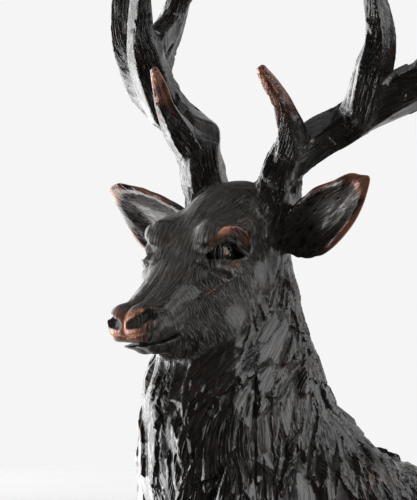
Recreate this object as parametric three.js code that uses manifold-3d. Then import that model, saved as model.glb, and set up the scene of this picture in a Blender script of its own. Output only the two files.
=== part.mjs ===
// Bust of a red deer stag, cast in one piece: neck and breast cut flat below, head, ears, branched antlers.
// Units are millimetres, +Z is up, and the stag faces -Y with its own left side at +X.
// The origin is on the flat underside, below the middle of the bust.
import * as THREE from "three";
import { mergeVertices } from "three/addons/utils/BufferGeometryUtils.js";
import Module from "manifold-3d";

const wasm = await Module();
wasm.setup();

// ---- Driving dimensions ----
const HEAD_LENGTH = 117; // from the point between the antlers to the tip of the nose
const POLL_HEIGHT = 162; // the point between the antlers, above the underside
const POLL_FORWARD = 25; // the same point, forward of the origin

// The forms below are drawn for a head of this length, and the whole bust is scaled to HEAD_LENGTH.
const DRAWN_HEAD_LENGTH = 117;
const SLIVER = 0.05; // joins and cuts leave faces thinner than this, which are merged away

// Places are given as (side, forward, up) from the point between the antlers.
const at = (side, forward, up) => new THREE.Vector3(side, -forward, up);

// ---- Solids ----

function solidOf(geometry) {
  const bare = geometry.clone();
  bare.deleteAttribute("normal");
  bare.deleteAttribute("uv");
  const merged = mergeVertices(bare, 1e-4);
  return new wasm.Manifold(
    new wasm.Mesh({
      numProp: 3,
      vertProperties: merged.attributes.position.array,
      triVerts: new Uint32Array(merged.index.array),
    }),
  );
}

function geometryOf(solid) {
  const { vertProperties, triVerts } = solid.getMesh();
  const geometry = new THREE.BufferGeometry();
  geometry.setAttribute("position", new THREE.BufferAttribute(vertProperties, 3));
  geometry.setIndex(new THREE.BufferAttribute(triVerts, 1));
  geometry.computeVertexNormals();
  return geometry;
}

// Moves every vertex of a geometry to the place that a function gives for it. Rounding makes the two
// vertices of a seam the same point.
const ROUNDING = 1e5;
const rounded = (x) => Math.round(x * ROUNDING) / ROUNDING + 0;
function reshaped(geometry, place) {
  const points = geometry.attributes.position;
  const v = new THREE.Vector3();
  for (let i = 0; i < points.count; i++) {
    v.set(...[points.getX(i), points.getY(i), points.getZ(i)].map(rounded));
    points.setXYZ(i, ...place(v).toArray());
  }
  return geometry;
}

// ---- Form fields: below zero inside, above zero outside ----

const smoothMin = (a, b, blend) => {
  const h = Math.max(blend - Math.abs(a - b), 0) / blend;
  return Math.min(a, b) - (h * h * blend) / 4;
};

// A ball swept from one point to another while its radius changes.
function sweptBall(p, start, end, startRadius, endRadius) {
  const along = end.clone().sub(start);
  const t = THREE.MathUtils.clamp(
    p.clone().sub(start).dot(along) / along.lengthSq(),
    0,
    1,
  );
  const near = start.clone().addScaledVector(along, t);
  return p.distanceTo(near) - THREE.MathUtils.lerp(startRadius, endRadius, t);
}

// An ellipsoid tipped nose-down by pitch degrees.
function egg(p, centre, radii, pitch) {
  const q = p
    .clone()
    .sub(centre)
    .applyAxisAngle(new THREE.Vector3(1, 0, 0), -THREE.MathUtils.degToRad(pitch));
  const k0 = Math.hypot(q.x / radii.x, q.y / radii.y, q.z / radii.z);
  const k1 = Math.hypot(q.x / radii.x ** 2, q.y / radii.y ** 2, q.z / radii.z ** 2);
  return k1 < 1e-9 ? -Math.min(radii.x, radii.y, radii.z) : (k0 * (k0 - 1)) / k1;
}

// ---- Neck and breast ----

// Level sections from the underside up: height below the poll, front edge, back edge, half width.
const NECK = [
  [-172, 58, -134, 61],
  [-158, 58, -128, 59],
  [-145, 61, -115, 55],
  [-132, 62, -84, 47],
  [-107, 61, -52, 40],
  [-84, 50, -38, 37],
  [-57, 34, -31, 29],
  [-35, 22, -27, 23],
  [-15, 13, -21, 17],
  [-6, 8, -15, 10],
];
const NECK_AROUND = 56; // faces around the neck
const NECK_LEVELS = 23; // and up it

const spline = (column) =>
  new THREE.SplineCurve(NECK.map((row) => new THREE.Vector2(row[0], row[column])));
const [NECK_FRONT, NECK_BACK, NECK_HALF] = [1, 2, 3].map(spline);

// A lock of the mane stands out as a long ridge. The ridges lean forward as they run down the neck, and
// each one ends in a step onto the next.
const LOCKS_AROUND = 14;
const LOCK_LENGTH = 44;
const LOCK_RELIEF = 3;
const saw = (x) => x - Math.floor(x);
function maneRelief(turn, up) {
  const row = up / LOCK_LENGTH;
  const across = LOCKS_AROUND * (turn / (2 * Math.PI) + 0.1 * Math.sin(turn) * row);
  const ridge = 0.5 - Math.abs(2 * saw(across) - 1);
  const step = saw(2 * row + 0.37 * Math.floor(across));
  return LOCK_RELIEF * ridge * (1 - 0.45 * step);
}

function neckSolid() {
  const low = NECK[0][0];
  const high = NECK[NECK.length - 1][0];
  const tube = new THREE.CylinderGeometry(1, 1, 1, NECK_AROUND, NECK_LEVELS);
  return solidOf(
    reshaped(tube, (v) => {
      const up = THREE.MathUtils.lerp(low, high, v.y + 0.5);
      const [front, back, half] = [NECK_FRONT, NECK_BACK, NECK_HALF].map((curve) =>
        valueAt(curve, up),
      );
      const turn = Math.atan2(v.x, v.z);
      const r = Math.hypot(v.x, v.z);
      const relief = 1 + maneRelief(turn, up) / half;
      const forward = (front + back) / 2 + (Math.cos(turn) * r * (front - back) * relief) / 2;
      return new THREE.Vector3(Math.sin(turn) * r * half * relief, -forward, up);
    }),
  );
}

// The value of a curve of (height, value) points at a height, by halving.
function valueAt(curve, height) {
  let low = 0;
  let high = 1;
  for (let i = 0; i < 24; i++) {
    const middle = (low + high) / 2;
    if (curve.getPoint(middle).x < height) low = middle;
    else high = middle;
  }
  return curve.getPoint(low).y;
}

// ---- Head ----

const size = (x, y, z) => new THREE.Vector3(x, y, z);

// The head is the same on both sides, so its field is drawn for the left one.
function headField(point) {
  const p = point.clone().setX(Math.abs(point.x));
  let d = egg(p, at(0, 9, -22), size(24, 29, 22), 32); // brain case and brow
  d = smoothMin(d, egg(p, at(0, 30, -36), size(20.5, 36, 21), 40), 12); // face below the eyes
  d = smoothMin(d, sweptBall(p, at(3, 44, -48), at(3.5, 84, -71), 15, 9.6), 10); // muzzle
  d = smoothMin(d, egg(p, at(10, 28, -60), size(15, 24, 21), 20), 12); // cheek
  d = smoothMin(d, sweptBall(p, at(8, 34, -70), at(3, 73, -78), 12, 6), 8); // lower jaw
  d = smoothMin(d, egg(p, at(5.5, 86.5, -67.5), size(8.5, 8, 8.5), 30), 6); // nose pad
  d = smoothMin(d, sweptBall(p, at(16, 44, -24), at(21.5, 28, -22), 6.5, 6.5), 10); // brow ridge
  d = smoothMin(d, sweptBall(p, at(17.5, 48, -42), at(20, 26, -42), 6, 7.5), 8); // cheekbone
  return d;
}

const ball = (centre, radius) =>
  solidOf(new THREE.SphereGeometry(radius, 12, 9).translate(...centre.toArray()));

const EYE = at(16.9, 40.5, -34.3);
const EYE_RADIUS = 9; // of the ball and its lids

// A nostril is a comma: a round hole at the front that narrows as it runs back up the side.
const NOSTRIL = [
  [6, 95.5, -66, 2.4],
  [11, 92, -65.5, 2.6],
  [14.5, 86, -62.5, 1.6],
];

// How far a point inside the head is from the surface in a given direction.
function wayOut(origin, direction) {
  const fieldAt = (distance) => headField(origin.clone().addScaledVector(direction, distance));
  let near = 0;
  while (fieldAt(near + 1) < 0) near += 1;
  let far = near + 1;
  while (far - near > 1e-4) {
    const middle = (near + far) / 2;
    if (fieldAt(middle) < 0) near = middle;
    else far = middle;
  }
  return near;
}

const HEAD_AROUND = 42; // faces around the head
const HEAD_RINGS = 30; // and from nape to nose
function headSolid() {
  const axisStart = at(0, -12, -20);
  const axisEnd = at(0, 85, -67);
  const along = axisEnd.clone().sub(axisStart);
  const side = new THREE.Vector3(1, 0, 0);
  const up = new THREE.Vector3().crossVectors(along, side).normalize();
  const globe = new THREE.SphereGeometry(1, HEAD_AROUND, HEAD_RINGS);
  return solidOf(
    reshaped(globe, (v) => {
      // The globe's poles are at the nose and the nape; each vertex slides out to the surface.
      const origin = axisStart.clone().addScaledVector(along, (1 - v.y) / 2);
      const out = side
        .clone()
        .multiplyScalar(v.x)
        .addScaledVector(up, v.z)
        .addScaledVector(along.clone().normalize(), -v.y)
        .normalize();
      return origin.addScaledVector(out, wayOut(origin, out));
    }),
  );
}

// ---- Tapered branches: antler beams and tines ----

// A branch follows a smooth curve through its points, which carry its radius, and ends in a blunt tip.
function branchSolid(points, sides, steps) {
  const curve = new THREE.CatmullRomCurve3(points.map(([x, f, z]) => at(x, f, z)));
  const frames = curve.computeFrenetFrames(steps);
  const radii = new THREE.SplineCurve(points.map((q, i) => new THREE.Vector2(i, q[3])));
  const tube = new THREE.CylinderGeometry(1, 1, 1, sides, steps);
  const length = curve.getLength();
  const tipRadius = points[points.length - 1][3];
  return solidOf(
    reshaped(tube, (v) => {
      const step = Math.round((v.y + 0.5) * steps);
      const u = step / steps;
      const t = curve.getUtoTmapping(u);
      const toTip = Math.min(((1 - u) * length) / tipRadius, 1);
      const blunting = 0.2 + 0.8 * Math.sqrt(1 - (1 - toTip) ** 2);
      const radius = radii.getPoint(t).y * blunting;
      return curve
        .getPointAt(u)
        .addScaledVector(frames.binormals[step], v.x * radius)
        .addScaledVector(frames.normals[step], v.z * radius);
    }),
  );
}

// (side, forward, up, radius) along each branch of the left antler.
const BEAM = [
  [15, 5, -24, 12.5],
  [21, 1, -8, 12],
  [26.5, -0.5, 10, 10.8],
  [37, -14, 23, 10],
  [48, -20, 29, 10],
  [63, -24, 38, 10.3],
  [80.5, -31, 47.5, 10.5],
  [93, -35, 55, 8.5],
  [105.5, -38, 69, 5.5],
  [110.5, -40, 83, 4.8],
  [110, -41, 104, 4.5],
  [103, -40, 130, 2.2],
];
const BROW_TINE = [
  [26, -2, 10, 9],
  [34.5, 5, 24, 7.5],
  [37.5, 14, 38, 5],
  [36, 21, 48, 4],
  [34, 27.5, 56, 2.7],
];
const TREZ_TINE = [
  [62, -18, 38, 10],
  [69, -15, 54, 9.6],
  [75, -14, 71, 7.8],
  [74.5, -11.5, 90, 5.8],
  [70, -7, 110, 4.2],
  [64, -2, 128, 2],
];
const BACK_TINE = [
  [83, -33, 48, 9],
  [87, -41, 62, 7.5],
  [84, -47, 80, 6.6],
  [80, -51, 98, 6],
  [75, -54, 122, 4.6],
  [67, -53, 150, 2],
];
const CROWN_TINE = [
  [79.5, -51.5, 100, 5],
  [84, -57, 114, 4],
  [88, -63, 132, 2],
];
// A web joins two prongs of the right antler above their fork.
const WEB = [
  [74, -17, 64, 8],
  [79, -30, 75, 7.2],
  [83.5, -46, 83, 6.4],
];
const BRANCHES = [
  [BEAM, 8, 32],
  [BROW_TINE, 8, 11],
  [TREZ_TINE, 8, 15],
  [BACK_TINE, 8, 16],
  [CROWN_TINE, 7, 7],
];

// ---- Ears ----

const EAR_ROOT = at(21, -3, -31);
const EAR_TIP = at(81, 1, 3);
const EAR_BELOW = 17.5; // from the ear's axis to its lower rim, at the widest
const EAR_ABOVE = 12.5; // and to its upper rim
const EAR_CURL = 0.35; // how far the rims come forward, as a share of their distance from the axis

// A pointed leaf, fuller below its axis than above it, whose rims curl forward. Its share shrinks it in
// width, and it runs from one share of the ear's length to another.
function leafSolid(share, thickness, forwardShift, start, end) {
  const axis = EAR_TIP.clone().sub(EAR_ROOT);
  const length = axis.length();
  axis.normalize();
  const forward = at(0.1, 1, -0.12).normalize();
  const below = new THREE.Vector3().crossVectors(axis, forward).normalize();
  const open = new THREE.Vector3().crossVectors(below, axis);
  const leaf = new THREE.SphereGeometry(1, 18, 14);
  return solidOf(
    reshaped(leaf, (v) => {
      const t = (v.y + 1) / 2;
      const full = Math.sin(Math.PI * t ** 0.8);
      const ring = Math.hypot(v.x, v.z) || 1;
      const half = v.x > 0 ? EAR_BELOW * full ** 0.8 : EAR_ABOVE * full ** 0.5;
      const wide = (v.x / ring) * half * share;
      const curl = (EAR_CURL * wide ** 2) / EAR_BELOW;
      const deep = (v.z / ring) * thickness * Math.sqrt(full);
      return EAR_ROOT.clone()
        .addScaledVector(axis, length * (start + (end - start) * t))
        .addScaledVector(below, wide)
        .addScaledVector(open, deep + curl + forwardShift);
    }),
  );
}

const earSolid = () => leafSolid(1, 5.5, 0, 0, 1).subtract(leafSolid(0.8, 4.5, 5.5, 0.18, 0.93));

// ---- The bust ----

const mirrored = (solid) => solid.mirror([1, 0, 0]);

// The right ear hangs a little lower than the left one.
const RIGHT_EAR_DROP = 4.5; // degrees
function rightEar() {
  const home = EAR_ROOT.clone().negate().toArray();
  const raised = earSolid().translate(home).rotate([0, RIGHT_EAR_DROP, 0]);
  return mirrored(raised.translate(EAR_ROOT.toArray()));
}

function bustGeometry() {
  const inPairs = [ball(EYE, EYE_RADIUS), ...BRANCHES.map((branch) => branchSolid(...branch))];
  let bust = neckSolid().add(headSolid()).add(earSolid()).add(rightEar());
  for (const piece of inPairs) bust = bust.add(piece).add(mirrored(piece));
  bust = bust.add(mirrored(branchSolid(WEB, 8, 6)));
  const nostril = branchSolid(NOSTRIL, 7, 5);
  bust = bust.subtract(nostril).subtract(mirrored(nostril));
  const scale = HEAD_LENGTH / DRAWN_HEAD_LENGTH;
  const ground = new THREE.BoxGeometry(400, 400, 60).translate(0, 0, -POLL_HEIGHT / scale - 30);
  return geometryOf(bust.subtract(solidOf(ground)).simplify(SLIVER))
    .scale(scale, scale, scale)
    .translate(0, -POLL_FORWARD, POLL_HEIGHT);
}

const patina = new THREE.MeshStandardMaterial({
  color: 0x1c1816,
  roughness: 0.34,
  metalness: 0.35,
});

const stag = new THREE.Group();
const bust = new THREE.Mesh(bustGeometry(), patina);
bust.name = "stag_bust";
stag.add(bust);

export default stag;
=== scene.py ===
"""Bust of a red deer stag: a one-piece iron casting with a carved mane, in a dark waxed patina.

The form is built up as in clay: balls, eggs and branches are blended in a field of distances, which is
turned into a skin. The skin is carved with blade cuts, and the material follows the carving. Lengths are
millimetres while the clay is worked and metres in the finished mesh.
"""

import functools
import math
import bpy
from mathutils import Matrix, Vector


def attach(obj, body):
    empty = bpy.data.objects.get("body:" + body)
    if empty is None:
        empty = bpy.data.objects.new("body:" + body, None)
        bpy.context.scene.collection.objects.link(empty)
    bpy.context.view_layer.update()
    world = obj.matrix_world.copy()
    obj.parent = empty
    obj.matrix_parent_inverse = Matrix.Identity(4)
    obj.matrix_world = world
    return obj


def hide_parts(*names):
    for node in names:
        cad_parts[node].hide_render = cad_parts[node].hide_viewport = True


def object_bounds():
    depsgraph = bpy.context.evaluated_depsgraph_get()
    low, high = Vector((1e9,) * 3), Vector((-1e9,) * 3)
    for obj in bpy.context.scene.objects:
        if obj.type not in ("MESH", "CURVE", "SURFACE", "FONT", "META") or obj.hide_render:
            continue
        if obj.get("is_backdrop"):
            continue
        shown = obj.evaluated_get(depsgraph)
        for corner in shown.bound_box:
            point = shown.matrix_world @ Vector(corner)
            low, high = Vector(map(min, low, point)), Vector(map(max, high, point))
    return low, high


bl_info = {
    "name": "Stag Bust",
    "version": (1, 0, 0),
    "blender": (4, 5, 0),
    "location": "View3D > Sidebar > Stag",
    "description": "Sculpts a cast iron stag bust with a carved mane and sets it in a plain studio",
    "category": "Object",
}

import bpy
import numpy as np
import openvdb
from mathutils import Vector

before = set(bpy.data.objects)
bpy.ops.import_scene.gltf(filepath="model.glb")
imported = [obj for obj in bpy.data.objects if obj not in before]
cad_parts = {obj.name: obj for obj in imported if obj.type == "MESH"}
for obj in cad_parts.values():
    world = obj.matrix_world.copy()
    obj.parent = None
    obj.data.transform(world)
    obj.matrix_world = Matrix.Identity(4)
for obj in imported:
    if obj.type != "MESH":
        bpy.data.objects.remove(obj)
CAD_LOW, CAD_HIGH = (np.array(corner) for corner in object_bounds())

NODE = "stag_bust"

MM = 0.001
POLL = np.array([0.0, -25.0, 162.0])  # the point between the antlers, in the frame, in millimetres
FLOOR = -POLL[2]  # the flat underside, as a height from the poll
NEAR = 4.0  # distances are true this many millimetres from the skin
EMPTY = 60.0  # distance that stands for empty space
MARGIN = 5.0  # room for clay beyond the CAD's box, in millimetres
FADE = 3.0  # millimetres over which the carving of one part gives way to the next
CARVING_SEED = 11
CHUNK = 20000  # points compared with the antlers at a time, to spare memory


# ---- Places and soft joins ----


def at(side, forward, up):
    """A place on the stag, from the point between the antlers: its left side is +X and it faces -Y."""
    return np.array([side, -forward, up], float)


def soft_min(a, b, blend):
    """Joins two forms with a fillet."""
    h = np.maximum(blend - abs(a - b), 0) / blend
    return np.minimum(a, b) - h * h * blend / 4


def soft_max(a, b, blend):
    """Keeps what two forms share, with a rounded edge. Given minus a form, it cuts that form away."""
    return -soft_min(-a, -b, blend)


def ease(x, low, high):
    """0 below low, 1 above high, smooth between them."""
    t = np.clip((x - low) / (high - low), 0, 1)
    return t * t * (3 - 2 * t)


def dot(q, v):
    return sum(q[k] * v[k] for k in range(3))


def unit(v):
    return v / np.linalg.norm(v)


def unit_rows(rows):
    return rows / np.maximum(np.linalg.norm(rows, axis=1), 1e-9)[:, None]


def on_left(p):
    """The place on the stag's left that matches a place on either side."""
    return abs(p[0]), p[1], p[2]


def swept_ball(p, start, end, start_radius, end_radius):
    """Distance to a ball that moves from start to end while its radius changes."""
    along = end - start
    q = [p[k] - start[k] for k in range(3)]
    t = np.clip(dot(q, along) / (along @ along), 0, 1)
    out = np.sqrt(sum((q[k] - t * along[k]) ** 2 for k in range(3)))
    return out - (start_radius + (end_radius - start_radius) * t)


def egg(p, centre, radii, pitch=0.0):
    """Distance to an egg tipped nose-down by pitch degrees."""
    c, s = math.cos(math.radians(pitch)), math.sin(math.radians(pitch))
    x, y, z = (p[k] - centre[k] for k in range(3))
    y, z = y * c + z * s, z * c - y * s
    k0 = np.sqrt((x / radii[0]) ** 2 + (y / radii[1]) ** 2 + (z / radii[2]) ** 2)
    k1 = np.sqrt((x / radii[0] ** 2) ** 2 + (y / radii[1] ** 2) ** 2 + (z / radii[2] ** 2) ** 2)
    return k0 * (k0 - 1) / np.maximum(k1, 1e-6)


def smooth_rows(rows, spacing, measured=3):
    """Rows of numbers evenly spaced along the smooth curve that their first measured columns draw."""
    rows = np.array(rows, float)
    ends = np.vstack([2 * rows[0] - rows[1], rows, 2 * rows[-1] - rows[-2]])
    t = np.linspace(0, 1, 24, endpoint=False)[:, None]
    fine = []
    for a, b, c, d in zip(ends, ends[1:], ends[2:], ends[3:]):
        cubic = 2 * b + (c - a) * t + (2 * a - 5 * b + 4 * c - d) * t**2
        fine.append((cubic + (3 * b - a - 3 * c + d) * t**3) / 2)
    fine = np.vstack(fine + [rows[-1:]])
    steps = np.linalg.norm(np.diff(fine[:, :measured], axis=0), axis=1)
    way = np.concatenate([[0], np.cumsum(steps)])
    stops = np.linspace(0, way[-1], max(int(way[-1] / spacing), 2) + 1)
    return np.stack([np.interp(stops, way, column) for column in fine.T], axis=1)


def grain_noise(p, size, seed):
    """Smooth random values from -1 to 1 that change over about size millimetres."""
    table = np.random.default_rng(seed).random((32, 32, 32), dtype=np.float32) * 2 - 1
    q = np.stack([np.asarray(p[k], float) for k in range(3)]) / size
    cell = np.floor(q).astype(int)
    f = q - cell
    f = f * f * (3 - 2 * f)
    total = 0.0
    for corner in np.ndindex(2, 2, 2):
        share = np.prod([f[k] if corner[k] else 1 - f[k] for k in range(3)], axis=0)
        i, j, k = ((cell[n] + corner[n]) % 32 for n in range(3))
        total = total + share * table[i, j, k]
    return total


# ---- Neck and breast ----

# Level sections: height from the poll, front edge, back edge, half width.
NECK = [
    (-180, 58, -137, 61), (-172, 58, -134, 61), (-158, 58, -128, 59), (-145, 61, -115, 55),
    (-132, 62, -84, 47), (-107, 61, -52, 40), (-84, 50, -38, 37), (-57, 34, -31, 29),
    (-35, 22, -27, 23), (-15, 13, -21, 17), (-6, 8, -15, 10),
]
NECK_LEVELS = smooth_rows(NECK, 1.5, measured=1)


def neck_section(z):
    """Middle, half depth and half width of the neck at a height."""
    level, front, back, half = NECK_LEVELS.T
    front, back, half = (np.interp(z, level, column) for column in (front, back, half))
    return -(front + back) / 2, (front - back) / 2, half


def neck(p):
    x, y, z = p
    middle, deep, half = neck_section(z)
    k0 = np.sqrt((x / half) ** 2 + ((y - middle) / deep) ** 2)
    k1 = np.sqrt((x / half**2) ** 2 + ((y - middle) / deep**2) ** 2)
    around = k0 * (k0 - 1) / np.maximum(k1, 1e-6)
    return soft_max(around, z - NECK[-1][0], 6.0)


# ---- Head ----

EYE = at(16.9, 40.5, -34.3)
EYE_OUT = unit(at(0.93, 0.34, 0.13))
EYE_BACK = unit(np.cross((0, 0, 1), EYE_OUT))
EYE_UP = np.cross(EYE_OUT, EYE_BACK)
# (forward, up) along the mouth, from its corner to the lips.
MOUTH = [(66, -74.5), (76, -77.0), (86, -78.6), (97, -77.4)]


def eye_place(p):
    """(back, up, out) in the left eye's own frame."""
    q = [p[k] - EYE[k] for k in range(3)]
    return [dot(q, v) for v in (EYE_BACK, EYE_UP, EYE_OUT)]


def eye_opening(back, up):
    """Below zero between the lids: an almond whose inner corner runs down towards the nose."""
    along = np.clip(np.where(back < 0, back / 13.0, back / 11.5), -1.2, 1.2)
    lens = 1 - along**2
    middle = -1.3 - 2.2 * np.where(back < 0, along**2, 0.3 * along**2)
    return np.maximum(up - middle - 6.4 * lens, middle - up - 2.9 * lens)


# The left half of the head: each form, the blend that joins it to those before, and its measures.
HEAD_FORMS = [
    (egg, 0, at(0, 9, -22), (24, 29, 22), 32),  # brain case and brow
    (egg, 12, at(0, 30, -36), (20.5, 36, 21), 40),  # face below the eyes
    (swept_ball, 10, at(3, 44, -48), at(3.5, 84, -71), 15, 9.6),  # muzzle
    (egg, 12, at(10, 28, -60), (15, 24, 21), 20),  # cheek
    (swept_ball, 8, at(8, 34, -70), at(3, 73, -78), 12, 6),  # lower jaw
    (egg, 6, at(5.5, 86.5, -67.5), (8.5, 8, 8.5), 30),  # nose pad
    (swept_ball, 10, at(16, 44, -24), at(21.5, 28, -22), 6.5, 6.5),  # brow ridge
    (swept_ball, 8, at(17.5, 48, -42), at(20, 26, -42), 6, 7.5),  # cheekbone
]
UNDER_CHEEK = (at(14.5, 64, -81.5), at(21, 38, -81.5), 4, 6)  # a hollow along the jaw


def head_mass(p):
    """The head without its eyes, nostrils and mouth."""
    d = None
    for form, blend, *measures in HEAD_FORMS:
        more = form(p, *measures)
        d = more if d is None else soft_min(d, more, blend)
    return soft_max(d, -swept_ball(p, *UNDER_CHEEK), 5)


def head(p):
    p = on_left(p)
    d = head_mass(p)
    # The face swells over the eye. Thick lids edge an almond hollow, and the ball fills its middle.
    back, up, out = eye_place(p)
    ball = np.sqrt(back**2 + up**2 + out**2)
    d = soft_min(d, ball - 7.6, 4.0)
    opening = eye_opening(back, up)
    on_face = 30 * (out < 0)
    rim = np.sqrt(opening**2 + d**2) - 1.5 + on_face
    hollow = np.maximum(np.maximum(opening, -(d + 3.4)), on_face - 1)
    d = soft_max(soft_min(d, rim, 1.2), -hollow, 0.5)
    d = np.minimum(d, ball - 7.1)
    # The nostril is a comma, wide behind and narrow in front.
    comma = swept_ball(p, at(3.6, 94.9, -69.2), at(8.2, 93, -67.5), 1.7, 2.6)
    comma = soft_min(comma, swept_ball(p, at(8.2, 93, -67.5), at(11.6, 87.8, -63.8), 2.6, 3.2), 1.0)
    d = soft_max(d, -comma, 1.0)
    # The mouth is a slot that follows the lip line a little way in.
    forward, lip = np.array(MOUTH, float).T
    line = np.interp(-p[1], forward, lip)
    slot = np.maximum(abs(p[2] - line) - 0.9, -(head_mass(p) + 3.2))
    slot = np.maximum(slot, p[1] + forward[0])
    return soft_max(d, -slot, 0.9)


# ---- Ears ----

EAR_ROOT = at(21, -3, -31)
EAR_TIP = at(81, 1, 3)
EAR_LENGTH = np.linalg.norm(EAR_TIP - EAR_ROOT)
EAR_AXIS = unit(EAR_TIP - EAR_ROOT)
EAR_BELOW = unit(np.cross(EAR_AXIS, at(0.1, 1, -0.12)))
EAR_OPEN = np.cross(EAR_BELOW, EAR_AXIS)
EAR_LOWER_HALF = 17.5
EAR_UPPER_HALF = 12.5
RIGHT_EAR_DROP = math.radians(4.5)


def left_ear_place(p):
    """Where a place on either ear lies on the left one: the right ear hangs a little lower."""
    x, y, z = p
    c = np.where(x < 0, math.cos(RIGHT_EAR_DROP), 1.0)
    s = np.where(x < 0, math.sin(RIGHT_EAR_DROP), 0.0)
    x, z = abs(x) - EAR_ROOT[0], z - EAR_ROOT[2]
    return x * c - z * s, y - EAR_ROOT[1], z * c + x * s


def ear_place(p):
    """(share of the length, distance below the axis, distance in front of the curled middle surface)."""
    q = left_ear_place(p)
    along, below, out = (dot(q, v) for v in (EAR_AXIS, EAR_BELOW, EAR_OPEN))
    curl = 0.35 * np.clip(below, -20, 20) ** 2 / EAR_LOWER_HALF
    return along / EAR_LENGTH, below, out - curl


def ear_half(t, below):
    """Half width of the ear above or below its axis, at a share of its length from 0 to 1."""
    full = np.sin(np.pi * np.clip(t, 0, 1) ** 0.8)
    return np.where(below > 0, EAR_LOWER_HALF * full**0.8, EAR_UPPER_HALF * full**0.5) + 0.2


def leaf(place, share, thickness, shift, start, end):
    """Distance to a leaf on the ear's curled surface, from one share of the ear's length to another."""
    t, below, out = place
    t = np.clip((t - start) / (end - start), 0.0, 1.0)
    half = ear_half(t, below) * share
    thick = thickness * np.sqrt(np.sin(np.pi * t**0.8)) + 0.2
    k0 = np.sqrt((below / half) ** 2 + ((out - shift) / thick) ** 2)
    past = abs((place[0] - start) / (end - start) - 0.5) - 0.5
    return np.maximum((k0 - 1) * np.minimum(half, thick), past * EAR_LENGTH)


def ear(p):
    place = ear_place(p)
    bowl = leaf(place, 0.84, 5.2, 5.6, 0.14, 0.95)
    return soft_max(leaf(place, 1.0, 5.5, 0.0, 0.0, 1.0), -bowl, 1.2)


# ---- Antlers ----

# (side, forward, up, radius) along each branch of the left antler.
BRANCHES = {
    "beam": [
        (15, 5, -24, 12.5), (21, 1, -8, 12), (26.5, -0.5, 10, 10.8), (37, -14, 23, 10.2),
        (48, -20, 29, 10.2), (63, -24, 38, 10.5), (80.5, -31, 47.5, 10.7), (93, -35, 55, 8.5),
        (105.5, -38, 69, 5.7), (110.5, -40, 83, 5), (110, -41, 104, 4.6), (103, -40, 130, 2.4),
    ],
    "brow": [
        (26, -2, 10, 9), (34.5, 5, 24, 7.7), (37.5, 14, 38, 5.3), (36, 21, 48, 4.3), (34, 27.5, 56, 2.7),
    ],
    "trez": [
        (62, -18, 38, 10), (69, -15, 54, 9.8), (75, -14, 71, 8), (74.5, -11.5, 90, 6),
        (70, -7, 110, 4.4), (64, -2, 128, 2.2),
    ],
    "back": [
        (83, -33, 48, 9), (87, -41, 62, 7.7), (84, -47, 80, 6.8), (80, -51, 98, 6.2),
        (75, -54, 122, 4.8), (67, -53, 150, 2.2),
    ],
    "crown": [(79.5, -51.5, 100, 5), (84, -57, 114, 4.2), (88, -63, 132, 2.2)],
}
# A web joins two of the right antler's prongs above their fork.
WEB = [(74, -17, 64, 8), (79, -30, 75, 7.2), (83.5, -46, 83, 6.4)]
BRANCH_STEP = 2.5
# An antler is whittled to flat sides that meet in ridges: each side's direction in degrees and its
# distance from the middle as a share of the radius.
WHITTLED_SIDES = [(10, 0.93), (75, 0.86), (148, 0.95), (212, 0.84), (285, 0.92)]
WHITTLE_TWIST = 0.011  # radians that the sides turn with each millimetre


def whittled(theta):
    """Radius in a direction, as a share of the branch's radius."""
    facing = [(np.cos(theta - math.radians(turn)), side) for turn, side in WHITTLED_SIDES]
    return np.minimum(np.minimum.reduce([side / np.maximum(c, 0.2) for c, side in facing]), 1.16)


def branch_frames(rows):
    """Points along a branch, each with its radius and two directions across it."""
    stations = smooth_rows([(*at(*row[:3]), row[3]) for row in rows], BRANCH_STEP)
    points = stations[:, :3]
    tangents = unit_rows(np.gradient(points, axis=0))
    across = np.cross(tangents[0], (0.3, 1, 0))
    frames = []
    for point, tangent, radius in zip(points, tangents, stations[:, 3]):
        across = across - tangent * (across @ tangent)
        across /= np.linalg.norm(across)
        frames.append((point, radius, across, np.cross(tangent, across)))
    return frames


# ---- Clay: the field of distances ----


class Clay:
    """A block of space that holds the distance to the form at each step."""

    def __init__(self, low, high, step):
        self.low, self.step = np.array(low, float), step
        shape = np.ceil((np.array(high) - self.low) / step).astype(int) + 1
        self.field = np.full(shape, EMPTY, np.float32)

    def window(self, low, high):
        """The cells between two corners, and the places of those cells along each axis."""
        first = np.maximum(np.floor((np.array(low) - self.low) / self.step).astype(int), 0)
        last = np.ceil((np.array(high) - self.low) / self.step).astype(int) + 1
        last = np.minimum(last, self.field.shape)
        cells = tuple(slice(a, b) for a, b in zip(first, last))
        places = []
        for k in range(3):
            line = self.low[k] + self.step * np.arange(first[k], last[k])
            places.append(line.astype(np.float32).reshape([-1 if n == k else 1 for n in range(3)]))
        return cells, places

    def add(self, form, low, high, blend):
        cells, places = self.window(low, high)
        self.field[cells] = soft_min(self.field[cells], form(places), blend)

    def add_clay(self, other, blend):
        offset = np.rint((other.low - self.low) / self.step).astype(int)
        first = np.maximum(offset, 0)
        last = np.minimum(offset + other.field.shape, self.field.shape)
        mine = tuple(slice(a, b) for a, b in zip(first, last))
        theirs = tuple(slice(a, b) for a, b in zip(first - offset, last - offset))
        self.field[mine] = soft_min(self.field[mine], other.field[theirs], blend)

    def snapped(self, low, high):
        """A new empty block on this one's own steps."""
        low = self.low + np.floor((np.array(low) - self.low) / self.step) * self.step
        steps = np.ceil((np.array(high) - low) / self.step)
        return Clay(low, low + steps * self.step, self.step)

    def skin(self):
        """Points and four-sided faces of the surface at distance zero."""
        grid = openvdb.FloatGrid(NEAR)
        grid.copyFromArray(np.clip(self.field, -NEAR, NEAR))
        points, quads = grid.convertToQuads()
        return self.low + points * self.step, quads


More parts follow.
